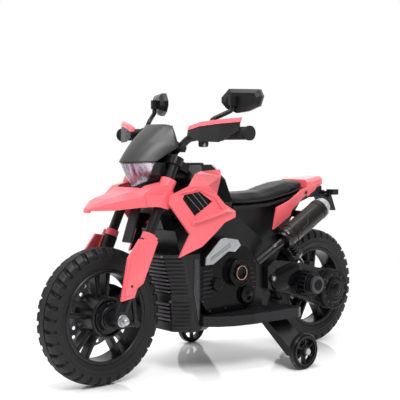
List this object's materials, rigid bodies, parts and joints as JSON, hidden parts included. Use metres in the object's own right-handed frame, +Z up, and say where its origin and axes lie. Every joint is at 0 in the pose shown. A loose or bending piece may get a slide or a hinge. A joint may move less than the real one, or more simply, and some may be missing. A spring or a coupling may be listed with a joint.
{
  "type": "kids electric motorbike",
  "caption": "Child's ride-on electric motorbike with sprung fork and swingarm, beak fender, hand guards, mirrors and stabiliser wheels.",
  "frame": {"origin": "on the floor under the middle of the wheelbase", "axes": "+X forward, +Y to the rider's left, +Z up"},
  "size_m": [1.1, 0.518, 0.732],
  "materials": {
    "coral": "glossy coral pink",
    "black": "satin black",
    "dark": "dark grey, fine grain",
    "silver": "silver paint",
    "copper": "copper-coloured ring",
    "rubber": "dull black",
    "grip": "soft black",
    "steel": "zinc plated",
    "chrome": "bright",
    "clear": "clear",
    "mirror": "mirror",
    "seat": "black leatherette",
    "lamp": "red and amber lens",
    "gear": "natural nylon",
    "red": "red"
  },
  "bodies": {
    "chassis": {"body_shell_left": "black", "body_shell_right": "black", "radiator_grille": "black", "engine_covers": "black", "clutch_rings": "copper", "frame_trims": "silver", "footboards": "black", "battery_pack": "black", "tank_cover": "dark", "side_fairing_left": "coral", "side_fairing_right": "coral", "side_vents": "black", "seat": "seat", "tail_fairing": "coral", "rear_lamps": "lamp", "plate_bracket": "black", "muffler_can": "dark", "muffler_end_cap": "silver", "training_arms": "black", "chassis_fasteners": "steel"},
    "throttle_pedal": {"throttle_pedal": "black"},
    "swingarm": {"swingarms": "black", "gearbox_cover": "black", "drive_motor": "steel", "rear_axle": "steel"},
    "rear_wheel": {"rear_rim": "black", "rear_tyre": "rubber", "drive_gear": "gear"},
    "idler_gear": {"idler_gear": "gear"},
    "motor_pinion": {"motor_pinion": "gear"},
    "shock_body": {"shock_bodies": "black", "shock_springs": "steel"},
    "shock_rod": {"shock_rods": "steel"},
    "steering": {"steering_stem": "black", "upper_clamp": "black", "fork_tubes": "black", "handlebar": "black", "grips": "grip", "hand_guards": "dark", "guard_strips": "coral", "bar_brackets": "black", "headlight_housing": "black", "headlight_lens": "clear", "windscreen": "dark", "dash_panel": "black", "front_fender": "coral"},
    "power_button": {"power_button": "red"},
    "direction_switch": {"direction_switch": "black"},
    "fork_lower": {"fork_legs": "black", "fork_guards": "coral", "front_axle": "steel"},
    "front_wheel": {"front_rim": "black", "front_tyre": "rubber", "brake_disc": "chrome"},
    "mirror_left": {"mirror_head_left": "black", "mirror_glass_left": "mirror"},
    "mirror_right": {"mirror_head_right": "black", "mirror_glass_right": "mirror"},
    "training_left": {"training_wheel_left": "black"},
    "training_right": {"training_wheel_right": "black"}
  },
  "joints": [
    {"name": "steering_turn", "type": "hinge", "parent": "chassis", "child": "steering", "pos_m": [0.19974, 0, 0.48288], "axis": [-0.4305, 0, 0.9026], "range_deg": [-22, 22]},
    {"name": "fork_slide", "type": "slide", "parent": "steering", "child": "fork_lower", "axis": [-0.4305, 0, 0.9026], "range_m": [0, 0.015], "stiffness_N_per_m": 5000, "springref_m": -0.04},
    {"name": "front_wheel_spin", "type": "hinge", "parent": "fork_lower", "child": "front_wheel", "pos_m": [0.38, 0, 0.17], "axis": [0, 1, 0], "continuous": true},
    {"name": "swingarm_pivot", "type": "hinge", "parent": "chassis", "child": "swingarm", "pos_m": [-0.142, 0, 0.222], "axis": [0, 1, 0], "range_deg": [0, 4], "stiffness_Nm_per_rad": 120, "springref_deg": -28.65},
    {"name": "rear_wheel_spin", "type": "hinge", "parent": "swingarm", "child": "rear_wheel", "pos_m": [-0.38, 0, 0.17], "axis": [0, 1, 0], "continuous": true},
    {"name": "idler_spin", "type": "hinge", "parent": "swingarm", "child": "idler_gear", "pos_m": [-0.30817, 0.071, 0.18778], "axis": [0, 1, 0], "continuous": true},
    {"name": "pinion_spin", "type": "hinge", "parent": "swingarm", "child": "motor_pinion", "pos_m": [-0.27128, 0.071, 0.19691], "axis": [0, 1, 0], "continuous": true},
    {"name": "shock_pivot", "type": "hinge", "parent": "chassis", "child": "shock_body", "pos_m": [-0.215, 0.051, 0.345], "axis": [0, 1, 0], "range_deg": [0, 2.89]},
    {"name": "shock_compress", "type": "slide", "parent": "shock_body", "child": "shock_rod", "axis": [0.669, 0, 0.7433], "range_m": [0, 0.0098], "deforming": ["shock_springs"]},
    {"name": "training_left_spin", "type": "hinge", "parent": "chassis", "child": "training_left", "pos_m": [-0.114, 0.225, 0.0475], "axis": [0, 1, 0], "continuous": true},
    {"name": "training_right_spin", "type": "hinge", "parent": "chassis", "child": "training_right", "pos_m": [-0.114, -0.225, 0.0475], "axis": [0, 1, 0], "continuous": true},
    {"name": "mirror_left_turn", "type": "hinge", "parent": "steering", "child": "mirror_left", "pos_m": [0.08059, 0.15669, 0.7], "axis": [0, 0, 1], "range_deg": [-20, 20]},
    {"name": "mirror_right_turn", "type": "hinge", "parent": "steering", "child": "mirror_right", "pos_m": [0.08059, -0.15669, 0.7], "axis": [0, 0, 1], "range_deg": [-20, 20]},
    {"name": "throttle_press", "type": "hinge", "parent": "chassis", "child": "throttle_pedal", "pos_m": [0.02, -0.125, 0.157], "axis": [0, 1, 0], "range_deg": [0, 9], "stiffness_Nm_per_rad": 3, "springref_deg": -14.32},
    {"name": "power_press", "type": "slide", "parent": "steering", "child": "power_button", "axis": [0.4305, 0, -0.9026], "range_m": [0, 0.0025], "stiffness_N_per_m": 400, "springref_m": -0.002},
    {"name": "direction_rock", "type": "hinge", "parent": "steering", "child": "direction_switch", "pos_m": [0.15161, -0.024, 0.58844], "axis": [0, 1, 0], "range_deg": [-10, 10]}
  ],
  "couplings": [
    {"joint": "idler_spin", "follows": "rear_wheel_spin", "ratio": -1.8462},
    {"joint": "pinion_spin", "follows": "rear_wheel_spin", "ratio": 4},
    {"joint": "shock_pivot", "follows": "swingarm_pivot", "ratio": 0.69749},
    {"joint": "shock_compress", "follows": "swingarm_pivot", "m_per_rad": 0.13752}
  ]
}
